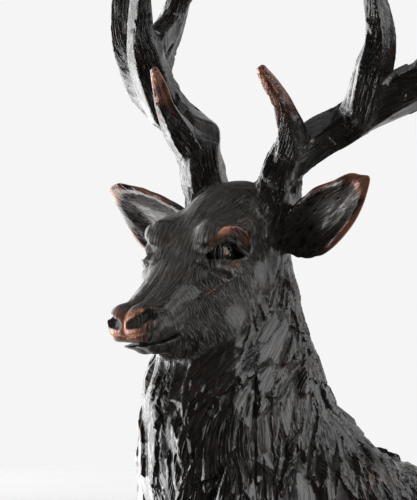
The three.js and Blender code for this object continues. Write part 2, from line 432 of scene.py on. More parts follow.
def branch_clay(clay, frames):
    """One branch: balls swept from station to station, cut to the whittled section."""
    points = np.array([f[0] for f in frames])
    margin = max(f[1] for f in frames) * 1.2 + NEAR
    block = clay.snapped(points.min(0) - margin, points.max(0) + margin)
    for i, ((a, first, over, under), (b, last, _, _)) in enumerate(zip(frames, frames[1:])):
        reach = max(first, last) * 1.2 + NEAR
        cells, p = block.window(np.minimum(a, b) - reach, np.maximum(a, b) + reach)
        along = b - a
        q = [p[k] - a[k] for k in range(3)]
        t = np.clip(dot(q, along) / (along @ along), 0, 1)
        q = [q[k] - t * along[k] for k in range(3)]
        twist = WHITTLE_TWIST * BRANCH_STEP * (i + t)
        theta = (np.arctan2(dot(q, under), dot(q, over)) + twist + np.pi) % (2 * np.pi) - np.pi
        out = np.sqrt(sum(q[k] ** 2 for k in range(3)))
        edge = (first + (last - first) * t) * whittled(theta)
        block.field[cells] = np.minimum(block.field[cells], out - edge)
    return block


def model_clay(step):
    """The whole stag before it is carved."""
    half = math.ceil((CAD_HIGH[0] / MM + MARGIN) / step) * step  # the block's middle lies on a step
    low, high = CAD_LOW / MM - MARGIN - POLL, CAD_HIGH / MM + MARGIN - POLL
    clay = Clay((-half, low[1], low[2]), (half, high[1], high[2]), step)
    # Each form is added in a box that holds it, with a fillet of so many millimetres.
    clay.add(neck, (-66, -70, FLOOR - 5), (66, 145, -2), 1.0)
    clay.add(head, (-40, -108, -104), (40, 42, 18), 14.0)
    antlers = clay.snapped((0, -40, -45), (125, 70, high[2]))
    for rows in BRANCHES.values():
        antlers.add_clay(branch_clay(antlers, branch_frames(rows)), 4.0)
    clay.add_clay(antlers, 5.0)
    antlers.field = antlers.field[::-1]
    antlers.low[0] = -(antlers.low[0] + antlers.step * (antlers.field.shape[0] - 1))
    web = branch_clay(antlers, [(p * (-1, 1, 1), *rest) for p, *rest in branch_frames(WEB)])
    antlers.add_clay(web, 5.0)
    clay.add_clay(antlers, 5.0)
    for side in (1, -1):
        corners = sorted([side * 14, side * 90])
        clay.add(ear, (corners[0], -22, -62), (corners[1], 32, 18), 3.5)
    cells, (_, _, z) = clay.window(low, (half, high[1], FLOOR + 2 * NEAR))
    clay.field[cells] = np.maximum(clay.field[cells], FLOOR - z)
    return clay


# ---- Skin ----


def corner_normals(points, faces):
    """A unit normal at each point, from the faces that meet there."""
    a, b, c, d = (points[faces[:, k]] for k in range(4))
    across = np.cross(c - a, d - b)
    sums = [sum(np.bincount(faces[:, k], across[:, n], len(points)) for k in range(4)) for n in range(3)]
    return unit_rows(np.stack(sums, axis=1))


def evened(faces, values):
    """Values at points, each moved half way to the mean of its neighbours along the faces' edges."""
    total = np.zeros(len(values))
    for k in range(4):
        for other in ((k + 1) % 4, (k + 3) % 4):
            total += np.bincount(faces[:, k], values[faces[:, other]], len(values))
    count = np.bincount(faces.ravel(), minlength=len(values)) * 2.0
    return (values + total / count) / 2


# ---- What each place on the skin is part of, and which way its hair runs ----

HEAD, NECK_HAIR, EAR, ANTLER = range(4)


def part_shares(distances, fade):
    """How much of each point belongs to each part: 1 to the nearest, fading over so many millimetres."""
    return np.exp((distances.min(0) - distances) / fade)


def antler_map(points):
    """Distance outside the nearest branch, its way along, the length along it and the way round it."""
    stations = []
    for rows in BRANCHES.values():
        frames = branch_frames(rows)
        for i, (point, radius, across, over) in enumerate(frames):
            stations.append((*point, radius, *across, *over, i * BRANCH_STEP))
    stations = np.array(stations)
    middles = stations[:, :3]
    mirror = np.where(points[:, :1] < 0, (-1, 1, 1), (1, 1, 1))
    mirrored = points * mirror
    out = np.empty(len(points))
    nearest = np.empty(len(points), int)
    for first in range(0, len(points), CHUNK):
        some = slice(first, first + CHUNK)
        part = mirrored[some]
        square = (part**2).sum(1)[:, None] + (middles**2).sum(1) - 2 * part @ middles.T
        gap = np.sqrt(np.maximum(square, 0)) - stations[:, 3]
        nearest[some], out[some] = gap.argmin(1), gap.min(1)
    near = stations[nearest]
    rel = mirrored - near[:, :3]
    angle = np.arctan2((rel * near[:, 7:10]).sum(1), (rel * near[:, 4:7]).sum(1))
    along = np.cross(near[:, 4:7], near[:, 7:10])
    length = near[:, 10] + (rel * along).sum(1)
    return out, along * mirror, length, angle * near[:, 3]


def mane_tilt(z, around):
    """How far the neck's hair leans to the front on its way down, in radians. Around is 0 in front."""
    side = np.sin(np.clip(around, 0, 2.2) / 2.2 * np.pi) ** 0.8
    shoulder = ease(-z, 95, 140) * ease(around, 1.5, 2.3)
    return side * (0.22 + 0.55 * ease(z, -135, -95)) - 0.75 * shoulder


def cheek_share(p):
    """0 on the bridge of the nose and the brow, 1 on the side of the face."""
    return ease(-35 - 0.72 * (-p[1] - 51.5) - p[2], 4, 16)


def survey(points):
    """Each point's part, distances to all parts, way of its hair, and place along and across that."""
    x, y, z = points.T
    outside, along, length, round_way = antler_map(points)
    p = (x, y, z)
    distances = np.stack([head_mass(on_left(p)), neck(p), ear(p), outside])
    part = np.argmin(distances - np.array([[1.0], [0.0], [1.0], [0.5]]), axis=0)

    flow = np.zeros((len(points), 3))
    middle, _, _ = neck_section(z)
    around = np.arctan2(abs(x), -(y - middle))
    forwards = np.stack([-np.sign(x) * np.cos(around), -np.sin(around), 0 * x], axis=1)
    lean = mane_tilt(z, around)[:, None]
    flow_neck = np.cos(lean) * np.array([0, 0, -1.0]) + np.sin(lean) * forwards
    # Fur runs up and back along the bridge of the nose and the brow, and down and back over the cheek.
    cheek = cheek_share(p)
    rise = 0.7 - 1.55 * cheek
    side = np.sign(x)
    flow_head = np.stack([0.2 * side * (1 - cheek), 0 * x + 1 - 0.45 * cheek, rise], axis=1)
    flow_ear = np.stack([side * EAR_AXIS[0], 0 * x + EAR_AXIS[1], 0 * x + EAR_AXIS[2]], axis=1)
    for share, way in zip(part_shares(distances, 2.5), (flow_head, flow_neck, flow_ear, along)):
        flow += unit_rows(way) * share[:, None]
    flow = unit_rows(flow)

    # Places along and across the grain, in millimetres.
    lean_table = np.linspace(-190, 20, 400)
    drift = np.cumsum(np.tan(mane_tilt(lean_table, 1.1))) * (lean_table[1] - lean_table[0])
    ear_t, ear_below, _ = ear_place(p)
    on_cheek = cheek > 0.4
    head_along = np.where(on_cheek, 0.54 * y - 0.84 * z, -y)
    head_across = np.where(on_cheek, -0.84 * y - 0.54 * z, x)
    neck_across = 48 * around - np.interp(z, lean_table, drift)
    # Strokes are longer on the mane and the antlers, so places along them are drawn closer.
    grain_along = np.choose(part, [head_along, 0.3 * z, ear_t * EAR_LENGTH, 0.5 * length])
    grain_across = np.choose(part, [head_across, neck_across, ear_below, round_way])
    apart = 40.0 * part + 7 * side  # so that no two parts or sides share their noise
    return part, distances, flow, np.stack([grain_along, grain_across, apart], axis=1)


# ---- Carving ----


def height_finder(points):
    """A function that quickly finds the points within a reach of a height."""
    order = np.argsort(points[:, 2])
    levels = points[order, 2]

    def find(height, reach):
        first, last = np.searchsorted(levels, [height - reach, height + reach])
        return order[first:last]

    return find


def cut_sites(points, normals, flow, allowed, count, numbers, rng):
    """Draws where cuts go. Gives each one's root, random numbers, normal and way along the skin."""
    roots = rng.choice(len(points), count, p=allowed / allowed.sum())
    for root, draw in zip(roots, rng.random((count, numbers))):
        normal = normals[root]
        way = flow[root] - normal * (flow[root] @ normal)
        yield root, draw, normal, way / max(np.linalg.norm(way), 1e-6)


def blade_cuts(points, normals, flow, allowed, count, length, width, rise, swing, scale, flat, rng):
    """Height of overlapping blade-shaped cuts, each with a broad flat, a narrow flat and a sharp tip.

    Some of the flats are combed: the gouge has left them in narrow strips, each tilted a little. The ten
    draws of a cut are for its length, width, height and swing, the side its narrow flat is on, the place
    of its ridge, the slope of its flat, its tip, the width of its strips and how deep they are combed.
    """
    height = np.zeros(len(points))
    find = height_finder(points)
    for root, draw, normal, way in cut_sites(points, normals, flow, allowed, count, 10, rng):
        size = scale[root]
        long = (length[0] + (length[1] - length[0]) * draw[0] ** 1.5) * size
        half = (width[0] + (width[1] - width[0]) * (0.5 * draw[0] + 0.5 * draw[1])) * size
        tall = (rise[0] + (rise[1] - rise[0]) * draw[2]) * size * flat[root]
        side = np.cross(normal, way)
        turn = swing * (draw[3] * 2 - 1)
        c, s = math.cos(turn), math.sin(turn)
        way, side = way * c + side * s, side * c - way * s
        start = points[root] - way * long * 0.5
        near = find(start[2], long * 1.1 + half)
        rel = points[near] - start
        u, v = rel @ way / long, rel @ side / half
        keep = (u > -0.05) & (u < 1.05) & (abs(v) < 1.05)
        near, u, v = near[keep], u[keep], v[keep]
        fall = (points[root] - points[near]) @ normal
        keep = (normals[near] @ normal > 0.4) & (abs(fall) < 0.2 * long + 1)
        near, u, v, fall = near[keep], u[keep], v[keep], fall[keep]
        ridge = 0.35 + 0.5 * draw[5]
        v = v if draw[4] < 0.5 else -v
        strip = (2.0 + 2.4 * draw[8]) / half
        combed = 0.5 * max(draw[9] - 0.3, 0) * min(half / 8, 1) * flat[root] * (v / strip % 1)
        body = tall * (0.4 + 0.6 * u) + np.clip(fall, -2, 2) - combed
        roof = body - tall * np.maximum((0.1 + 0.5 * draw[6]) * (ridge - v), 3.0 * (v - ridge))
        tip = (1.02 - u) * long * 1.3 - half * (1.2 + 2.2 * draw[7]) * abs(v - 0.5 * ridge)
        heel = 0.3 * long * (u + 0.04)
        cut = np.minimum.reduce([roof, tip, half * 1.4 * (1 - abs(v)), heel])
        height[near] = np.maximum(height[near], cut)
    return height


def plane_cuts(points, normals, flow, allowed, count, length, width, depth, rng):
    """Height, never above zero, of flat cuts along the grain that shave off what stands proud."""
    height = np.zeros(len(points))
    find = height_finder(points)
    for root, draw, normal, way in cut_sites(points, normals, flow, allowed, count, 3, rng):
        long, half, deep = (a + (b - a) * d for (a, b), d in zip((length, width, depth), draw))
        near = find(points[root, 2], long + half)
        rel = points[near] - points[root]
        u, v, out = rel @ way, rel @ np.cross(normal, way), rel @ normal
        keep = (abs(u) < long) & (abs(v) < half) & (abs(out) < half)
        keep &= normals[near] @ normal > 0.5
        near, u, v, out = near[keep], u[keep], v[keep], out[keep]
        wall = np.minimum(0.4 * (long - abs(u)), 1.6 * (half - abs(v)))
        cut = np.clip(np.minimum(out + deep, wall), 0, 2 * deep)
        height[near] = np.minimum(height[near], -cut)
    return height


def eye_strokes(points):
    """Height of the carving round the eyes: brow arch, lid rims, tear pit and the ridge below."""
    back, up, out = eye_place(on_left(points.T))
    near = (abs(out) < 16) & (points[:, 1] < 0)

    def stroke(spots, half, height, sharp=1.0):
        spots = np.array(spots, float)
        best = np.full(len(points), 99.0)
        for a, b in zip(spots, spots[1:]):
            along = b - a
            t = np.clip(((back - a[0]) * along[0] + (up - a[1]) * along[1]) / (along @ along), 0, 1)
            best = np.minimum(best, np.hypot(back - a[0] - t * along[0], up - a[1] - t * along[1]))
        return height * np.clip(1 - best / half, 0, 1) ** sharp

    total = stroke([(-10.5, 3), (-9, 7), (-3, 11.2), (4.5, 12), (11, 9), (15.5, 3)], 3.6, 2.3, 0.8)
    total += stroke([(-14.5, -5.5), (-11, -8.4), (-5, -10.6), (0.4, -11.8)], 2.0, -1.8)
    total += stroke([(-11, 3.5), (-6, 7.4), (0, 8.8), (6, 7.6), (11.5, 3)], 1.4, 0.7)
    total += stroke([(3.8, -11.5), (-1, -14.8), (-4, -16.6), (-14.5, -22)], 1.6, 1.0)
    return np.where(near, total, 0.0)


def bridge_nicks(points):
    """Height of a few short nicks of the gouge, side by side across the bridge of the nose."""
    side, forward = points[:, 0] + 6.5, -points[:, 1] - 57.0
    ripple = 0.32 * np.cos(2 * math.pi * (side + 0.35 * forward) / 2.4)
    across = ease(5.4 - abs(side), 0, 0.8) * (points[:, 2] < 0)
    return ripple * ease(3.6 - abs(forward), 0, 1.2) * across


def tool_relief(grain, long, across, slant, seed):
    """Ridges drawn out along the grain, from -1 to 1. Long and across are their size in millimetres."""
    u, v, w = grain.T
    return grain_noise((u / long, (v + slant * u) / across, w), 1.0, seed)


# Tool marks on fur, ears and antlers: depth, length, width and slant of a fine and a broad pattern, with
# the seed of its noise.
FUR_MARKS = [(0.11, 9, 1.9, 0.0, 6), (0.18, 26, 5.5, 0.1, 7)]
EAR_MARKS = [(0.45, 16, 2.2, 0.25, 8), (1.0, 34, 4.5, 0.2, 9)]
ANTLER_MARKS = [(0.08, 7, 1.9, 0.9, 10), (0.3, 24, 6.0, 0.5, 12)]
# Count, length, width, rise and swing of the mane's broad locks and of the tufts on them, and count,
# length, width and depth of the flats on the antlers.
LOCKS = (190, (45, 95), (6, 12), (3.2, 6.6), 0.3)
TUFTS = (380, (16, 48), (1.3, 3.3), (1.0, 2.2), 0.28)
FLATS = (220, (8, 20), (3, 7), (0.1, 0.5))
ANYWHERE = 1e-9  # lets a cut's root be drawn even where none is wanted


def carve(points, normals, rng, depth):
    """How far each point moves out along its normal, in millimetres."""
    _, distances, flow, grain = survey(points)
    share = part_shares(distances, FADE)
    share /= share.sum(0)
    x, y, z = points.T
    mane = share[NECK_HAIR] * ease(-z, 20, 50)
    cheek = ease(-y, 48, 20) * ease(-z, 55, 85) * share[HEAD]
    long_hair = np.clip(mane + 0.8 * cheek, 0, 1)

    def cuts(allowed, scale, flat, spec):
        allowed = allowed + ANYWHERE
        height = blade_cuts(points, normals, flow, allowed, *spec, scale, flat, rng)
        return height - np.average(height, weights=allowed)

    def marks(patterns):
        return sum(high * tool_relief(grain, *pattern) for high, *pattern in patterns)

    lower = 0.72 + 0.45 * ease(-z, 45, 150)  # locks grow longer and broader down the neck
    breast = ease(-y, 20, 50)  # and broader but flatter on the breast
    size = lower * (1 + 0.3 * breast)
    plain = ease(-x, 3, 14) * ease(-y, 5, 25)  # the right of the breast is dressed in broad plain flats
    moved = cuts(long_hair / size**2, size, 1 - 0.78 * np.maximum(breast, plain), LOCKS)
    moved += cuts(long_hair / size, size, 1 - np.maximum(0.7 * breast, 0.93 * plain), TUFTS)
    moved *= long_hair
    moved += 0.05 * tool_relief(grain, 11, 2.4, 0.0, 5) * long_hair * (1 - plain)
    away = np.sqrt(sum(a**2 for a in eye_place(on_left(points.T))))
    fur = share[HEAD] * (1 - long_hair) * ease(-y, 100, 80) * ease(away, 11, 17)
    bone = share[ANTLER]
    moved += marks(FUR_MARKS) * fur
    moved += marks(EAR_MARKS) * share[EAR]
    moved += marks(ANTLER_MARKS) * bone
    moved += plane_cuts(points, normals, flow, bone + ANYWHERE, *FLATS, rng) * bone
    moved += bone * ease(-z, -22, 2) * 0.7 * np.clip(grain_noise(points.T, 3.2, 3) - 0.15, -1, 0.1)
    moved += eye_strokes(points)
    moved += bridge_nicks(points)
    moved += 0.3 * grain_noise(points.T, 14, 4) * (share[HEAD] + 0.5 * bone)
    return moved * depth * ease(z, FLOOR + 0.5, FLOOR + 3)


def new_object(name, data):
    thing = bpy.data.objects.new(name, data)
    bpy.context.scene.collection.objects.link(thing)
    return thing


def skin_piece(name, step, depth, triangles):
    """The carved casting as a Blender object of at most so many triangles."""
    points, faces = one_body(*model_clay(step).skin())
    normals = corner_normals(points, faces)
    normals = unit_rows(np.stack([evened(faces, line) for line in normals.T], axis=1))
    moved = carve(points, normals, np.random.default_rng(CARVING_SEED), depth)
    points = points + normals * moved[:, None]
    points[:, 2] = np.maximum(points[:, 2], FLOOR)
    mesh = bpy.data.meshes.new(name)
    mesh.from_pydata(((points + POLL) * MM).tolist(), [], faces.tolist())
    piece = new_object(name, mesh)
    thin = piece.modifiers.new("Fewer triangles", "DECIMATE")
    thin.ratio = min(1.0, triangles / (2 * len(faces)))
    thin.use_collapse_triangulate = True
    graph = bpy.context.evaluated_depsgraph_get()
    final = bpy.data.meshes.new_from_object(piece.evaluated_get(graph))
    piece.modifiers.clear()
    piece.data = final
    final.name = name
    bpy.data.meshes.remove(mesh)
    return piece


def one_body(points, faces):
    """The points and faces of the largest connected part, without any loose crumb of clay."""
    label = np.arange(len(points))
    sides = np.vstack([faces[:, [k, (k + 1) % 4]] for k in range(4)])
    while True:
        ends = np.sort(label[sides], axis=1)
        apart = ends[:, 0] != ends[:, 1]
        if not apart.any():
            break
        np.minimum.at(label, ends[apart, 1], ends[apart, 0])
        label = label[label]
    kept = label == np.bincount(label).argmax()
    place = np.cumsum(kept) - 1
    return points[kept], place[faces[kept[faces[:, 0]]]]


# ---- Marks that the finish follows ----


def triangle_edges(faces):
    pairs = np.vstack([faces[:, [0, 1]], faces[:, [1, 2]], faces[:, [2, 0]]])
    return np.unique(np.sort(pairs, axis=1), axis=0)


def standing_out(points, normals, pairs, times):
    """How far each point stands out from those around it, in millimetres: ridges above zero."""
    count = np.bincount(pairs.ravel(), minlength=len(points))
    even = points.copy()
    for _ in range(times):
        total = np.zeros_like(points)
        for axis in range(3):
            total[:, axis] = np.bincount(pairs[:, 0], even[pairs[:, 1], axis], len(points))
            total[:, axis] += np.bincount(pairs[:, 1], even[pairs[:, 0], axis], len(points))
        even = (even + total / np.maximum(count, 1)[:, None]) / 2
    return ((points - even) * normals).sum(1)


# Soft balls of rub on both sides: side, forward, up, radius and strength.
COPPER_SPOTS = [
    (4, 96, -69, 9, 0.75), (9, 93, -66, 6, 0.75), (5, 94, -75, 8, 0.75), (37, 14, 38, 8, 0.42),
    (36, 20, 47, 10, 0.6), (34, 28, 56, 7, 0.72), (79, 0.5, 1, 9, 0.65), (70, -51, 140, 12, 0.3),
]
# Painted shade: the left ear, on the camera's side and shaded by the head, is drier and duller inside
# than the right, so that it reads darker.
LEFT_EAR_DRY_AND_SHADE, RIGHT_EAR_DRY_AND_SHADE = 0.85, 0.4  # how dry the patina is inside each ear; the left ear's extra dryness is painted shade


def rub(points, part):
    """Where handling has worn the patina through to copper, from 0 to 1, and a painted highlight in each
    eye.
    """
    p = points.T
    back, up, out = eye_place(on_left(p))
    near_eye = (abs(out) < 14) & (points[:, 1] < 0)
    arch = 11.8 - 0.055 * (back - 2.5) ** 2
    brow = ease(4.4 - abs(up + 1 - arch), 0, 3) * ease(13 - abs(back - 2), 0, 3)
    lid = ease(2.0 - abs(up + 6.6), 0, 1.2) * ease(6 - abs(back - 2.5), 0, 2)
    line = ease(1.2 - abs(up + 14.2 - 0.56 * back), 0, 1) * ease(9.5 - abs(back + 5), 0, 3)
    eyes = np.where(near_eye, np.maximum.reduce([0.62 * brow, 0.6 * lid, 0.62 * line]), 0)
    ear_t, below, _ = ear_place(p)
    to_rim = abs(below) / ear_half(ear_t, below)
    rim = (part == EAR) * ease(ear_t, 0.25, 0.5) * ease(to_rim, 0.7, 0.95)
    tip = (part == EAR) * ease(ear_t, 0.72, 0.92)
    # A painted highlight: a copper spot on the eyeball stands in for the glint of light in the eye.
    painted_eye_glint = 0.55 * ease(3.2 - np.sqrt((back + 0.8) ** 2 + (up + 0.3) ** 2), 0, 2) * (abs(out) < 8)
    worn = [eyes, painted_eye_glint, 0.62 * rim, 0.68 * tip]
    for *place, radius, strength in COPPER_SPOTS:
        gap = np.linalg.norm(np.stack(on_left(p), axis=1) - at(*place), axis=1)
        worn.append(strength * ease(radius * 1.25 - gap, 0, radius * 0.5))
    # Hollows keep their black: the nostrils and the mouth.
    hollow = (part == HEAD) * ease(-head_mass(on_left(p)), 0.15, 0.6) * (points[:, 1] < -60)
    return np.clip(np.maximum.reduce(worn) * (1 - hollow), 0, 1)


def read(items, name, kind=float):
    """A measure of all of a mesh's points or faces, in rows of three."""
    values = np.empty(len(items) * 3, kind)
    items.foreach_get(name, values)
    return values.reshape(-1, 3)


SHARP = 0.35  # a ridge that stands out this far, in millimetres, counts as fully sharp


def mark(piece):
    """Stores on each point how the finish changes there and its places along the grain."""
    mesh = piece.data
    points = read(mesh.vertices, "co") / MM - POLL
    normals = read(mesh.vertices, "normal")
    part, distances, _, grain = survey(points)
    ridge = standing_out(points, normals, triangle_edges(read(mesh.polygons, "vertices", int)), 3)
    face = part_shares(distances, FADE)[HEAD]
    p = points.T
    back, up, out = eye_place(on_left(p))
    around_eye = ease(17 - np.hypot(back, up), 0, 5) * (out > 0)
    ball = ease(7.6 - np.sqrt(back**2 + up**2 + out**2), 0, 0.3) * (out > 0)
    ear_t, below, front = ear_place(p)
    # The inside of each ear is dry and matt, the left one more, as painted shade.
    ear_dry_and_shade = (part == EAR) * np.where(p[0] > 0, LEFT_EAR_DRY_AND_SHADE, RIGHT_EAR_DRY_AND_SHADE) * ease(front, -2, 0)
    ear_dry_and_shade *= ease(1 - abs(below) / ear_half(ear_t, below), 0.1, 0.3)
    marks = {
        # Copper wear, and the painted highlight in each eye.
        "rubbed": rub(points, part),
        "ridge": np.clip(ridge / SHARP, -1, 1) * 0.5 + 0.5,
        "face": face * ease(p[2], -100, -70),
        "matt": face * np.maximum(1 - cheek_share(p), around_eye * (up > 4)) * (1 - ball) + ear_dry_and_shade,
        "eyeball": ball,
    }
    for name, values in marks.items():
        layer = mesh.attributes.new(name, "FLOAT", "POINT")
        layer.data.foreach_set("value", values.astype(np.float32))
    layer = mesh.attributes.new("grain", "FLOAT_VECTOR", "POINT")
    layer.data.foreach_set("vector", grain.astype(np.float32).ravel())


# ---- Finish ----


def linear(colour):
    """A linear colour from an sRGB hex value."""
    parts = [int(colour[i : i + 2], 16) / 255 for i in (1, 3, 5)]
    return [c / 12.92 if c <= 0.04045 else ((c + 0.055) / 1.055) ** 2.4 for c in parts] + [1.0]


def add_node(tree, kind, inputs=(), output=0, **settings):
    """Adds a node, sets it up, sets or links its inputs and returns one of its outputs.

    Inputs are values in the node's own order, or a dictionary of values by name or number.
    """
    node = tree.nodes.new("ShaderNode" + kind)
    for name, value in settings.items():
        setattr(node, name, value)
    for name, value in inputs.items() if isinstance(inputs, dict) else enumerate(inputs):
        if isinstance(value, bpy.types.NodeSocket):
            tree.links.new(value, node.inputs[name])
        else:
            node.inputs[name].default_value = value
    return node.outputs[output] if node.outputs else None


def cleared(owner):
    """Clears the nodes of a material or world, and returns add_node for its tree."""
    owner.use_nodes = True
    owner.node_tree.nodes.clear()
    return functools.partial(add_node, owner.node_tree)


# A Mix node's inputs are 0 for the share, 2 and 3 for numbers and 6 and 7 for colours.
COLOUR_MIX = {"data_type": "RGBA", "output": 2}
FINE_STROKES = (7.0, 1.1)  # length and width in mm: real tool lines are 0.5 mm apart and wouldn't show
BROAD_STROKES = (28.0, 2.8)
SPECKS = 700.0  # noise scale of specks about 1.4 mm across
CLOUDS = 59.0  # noise scale of clouds about 17 mm across
DRY_ROUGHNESS = 0.55
EYE_ROUGHNESS = 0.12
DUSTY_ROUGHNESS = 0.75
COPPER_ROUGHNESS = 0.36
WAX_COAT = 0.45


def patinated_iron(finish):
    """Cast iron, bronzed and then blackened, waxed, and rubbed back on its high places.

    The wax gives a clear coat of gloss over a brown-black body. On ridges and where hands reach, the
    black is worn thin and warm metal shows. A copper spot in each eye is a painted highlight.
    """
    material = bpy.data.materials.new("patinated_iron")
    add = cleared(material)
    rubbed, ridge, face, matt, eyeball = (
        add("Attribute", output="Fac", attribute_name=name)
        for name in ("rubbed", "ridge", "face", "matt", "eyeball")
    )
    grain = add("Attribute", output="Vector", attribute_name="grain")
    place = add("TexCoord", output="Object")

    def strokes(length, width, detail):
        """Noise drawn out along the grain."""
        drawn = add("VectorMath", (grain, (1 / length, 1 / width, 1)), operation="MULTIPLY")
        return add("TexNoise", {"Vector": drawn, "Scale": 1.0, "Detail": detail})

    fine = strokes(*FINE_STROKES, 1.0)
    broad = strokes(*BROAD_STROKES, 2.0)
    speck = add("TexNoise", {"Vector": place, "Scale": SPECKS, "Detail": 2.0})
    cloud = add("TexNoise", {"Vector": place, "Scale": CLOUDS, "Detail": 3.0})
    # Crests and grooves are thin lines that run where the strokes pass their middle value.
    off = add("Math", (fine, 0.5), operation="SUBTRACT")
    off = add("Math", (off,), operation="ABSOLUTE")
    crest = add("MapRange", (off, 0, 0.055, 1, 0))
    off = add("Math", (broad, 0.5), operation="SUBTRACT")
    off = add("Math", (off,), operation="ABSOLUTE")
    between = add("MapRange", (off, 0, 0.04))

    # Copper shows where the patina is rubbed and on sharp ridges, broken up by the strokes, and as the
    # painted highlight in each eye.
    broken = add("Math", (broad, cloud), operation="ADD")
    broken = add("Math", (broken, 0.9, -0.9), operation="MULTIPLY_ADD")
    worn = add("Math", (rubbed, broken), operation="ADD")
    bare = add("MapRange", (worn, 0.3, 0.85))
    sharp = add("MapRange", (ridge, 0.7, 0.92))
    patchy = add("MapRange", (cloud, 0.52, 0.66))
    edge = add("Math", (sharp, patchy), operation="MULTIPLY")
    edge = add("Math", (edge, finish.edge_wear), operation="MULTIPLY")
    copper = add("Math", (bare, edge), operation="MAXIMUM", use_clamp=True)

    # The black thins to brown in clouds. Where it is dry it is paler, and so are the crests. The extra
    # dryness in the left ear is painted shade.
    browned = add("MapRange", (cloud, 0.38, 0.62, 0.1))
    drawn = add("MapRange", (fine, 0.4, 0.6))
    dry_and_ear_shade = add("Math", (matt, drawn), operation="MULTIPLY")
    # The crests of the fine lines are paler: worn patina, and partly a painted sheen that stands in for
    # glints of light along the hairs, most on the face.
    crest_wear_and_sheen = add("Math", (crest, finish.stroke_wear_and_sheen), operation="MULTIPLY")
    furry = add("Math", (face, 0.7, 0.2), operation="MULTIPLY_ADD")
    crest_wear_and_sheen = add("Math", (crest_wear_and_sheen, furry), operation="MULTIPLY")
    body = [*finish.black, 1]
    for share, paint in ((browned, finish.brown), (dry_and_ear_shade, finish.dry_brown), (crest_wear_and_sheen, finish.worn_black_and_sheen)):
        body = add("Mix", {0: share, 6: body, 7: [*paint, 1]}, **COLOUR_MIX)
    shine = add("Math", (fine, 0.3), operation="MULTIPLY")
    shine = add("Math", (worn, 0.7, shine), operation="MULTIPLY_ADD")
    bright = add("MapRange", (shine, 0.45, 0.9))
    coppers = {0: bright, 6: [*finish.copper_dark, 1], 7: [*finish.copper_light, 1]}
    metal = add("Mix", coppers, **COLOUR_MIX)
    colour = add("Mix", {0: copper, 6: body, 7: metal}, **COLOUR_MIX)

    waxed = finish.gloss_roughness
    for share, rough in ((face, finish.face_roughness), (dry_and_ear_shade, DRY_ROUGHNESS), (eyeball, EYE_ROUGHNESS)):
        waxed = add("Mix", {0: share, 2: waxed, 3: rough})
    uneven = add("Math", (broad, 0.2, -0.1), operation="MULTIPLY_ADD")
    waxed = add("Math", (waxed, uneven), operation="ADD")
    # Dust and old wax lie dull in the hollows, so that the gaps between the locks stay black.
    dull = add("MapRange", (ridge, 0.42, 0.12))
    roughness = waxed
    for share, rough in ((dull, DUSTY_ROUGHNESS), (copper, COPPER_ROUGHNESS)):
        roughness = add("Mix", {0: share, 2: roughness, 3: rough})
    metallic = add("Math", (copper, 0.85), operation="MULTIPLY")
    coat = add("Math", (dry_and_ear_shade, dull), operation="MAXIMUM")
    coat = add("Math", (coat, -WAX_COAT, WAX_COAT), operation="MULTIPLY_ADD")

    height = 0.0
    for pattern, share in ((fine, 0.4), (broad, 0.4), (crest, 0.12), (between, 0.3), (speck, 0.1)):
        height = add("Math", (pattern, share, height), operation="MULTIPLY_ADD")
    deep = add("Math", (face, 0.7, 0.8), operation="MULTIPLY_ADD")
    height = add("Math", (height, deep), operation="MULTIPLY")
    lines = {"Height": height, "Distance": finish.stroke_depth, "Strength": 1.0}
    surface = {
        "Base Color": colour,
        "Metallic": metallic,
        "Roughness": roughness,
        "IOR": 1.5,
        "Specular IOR Level": 0.6,
        "Coat Weight": coat,
        "Coat Roughness": 0.1,
        "Normal": add("Bump", lines),
    }
    add("OutputMaterial", (add("BsdfPrincipled", surface),))
    return material


# ---- Studio ----

VIEW_SIDE = math.radians(38)  # the camera stands this far round to the stag's left of its nose
RIGHT = np.array([math.cos(VIEW_SIDE), math.sin(VIEW_SIDE), 0.0])
TOWARDS = np.array([math.sin(VIEW_SIDE), -math.cos(VIEW_SIDE), 0.0])
AIM = POLL + RIGHT * -16.75 + np.array([0, 0, -32.5])  # the middle of the picture
CAMERA_AWAY = 3000.0
PICTURE_HEIGHT = 250.0  # what the camera takes in at that distance
SENSOR = 36.0
FLOOR_CORNERS = 96


def aimed(name, data, place, aim):
    """A light or camera at a place, turned to face another."""
    thing = new_object(name, data)
    thing.location = np.array(place) * MM
    look = Vector(np.array(aim) - np.array(place))
    thing.rotation_euler = look.to_track_quat("-Z", "Y").to_euler()
    return thing


# Direction round the stag from the camera in degrees, left above zero, then height, distance and size.
SOFTBOXES = {
    "key": (93, -150, 900, (1100, 650)),
    "wing": (138, 0, 950, (900, 1000)),
    "fill": (-64, 340, 950, (560, 960)),
    "rim": (-115, 200, 900, (500, 1200)),
    "top": (60, 1000, 300, (800, 800)),
}


def softbox(name, turn, height, away, size, power):
    """A rectangular soft light that faces the stag."""
    light = bpy.data.lights.new(name, "AREA")
    light.shape = "RECTANGLE"
    light.size, light.size_y = size[0] * MM, size[1] * MM
    light.energy = power
    turn = math.radians(turn)
    ground = TOWARDS * math.cos(turn) - RIGHT * math.sin(turn)
    lamp = aimed(name, light, AIM + ground * away + np.array([0, 0, height]), AIM)
    lamp.visible_camera = False


def studio_world(studio):
    """Pale to the camera; as a light, bright behind the stag and dim in front of it."""
    world = bpy.data.worlds.new("studio")
    add = cleared(world)
    ray = add("TexCoord", output="Generated")
    away = add("VectorMath", (ray, tuple(-TOWARDS)), output="Value", operation="DOT_PRODUCT")
    smooth = {"interpolation_type": "SMOOTHSTEP"}
    behind = add("MapRange", (away, -0.1, 0.8, studio.front, studio.back), **smooth)
    height = add("SeparateXYZ", (ray,), output="Z")
    dome = add("MapRange", (height, 0.1, 0.75, 1, 0.25), **smooth)
    strength = add("Math", (behind, dome), operation="MULTIPLY")
    room = add("Background", ((1, 1, 1, 1), strength))
    wall = add("Background", ([*studio.backdrop, 1], 1.0))
    seen = add("LightPath", output="Is Camera Ray")
    add("OutputWorld", (add("MixShader", (seen, room, wall)),))
    bpy.context.scene.world = world


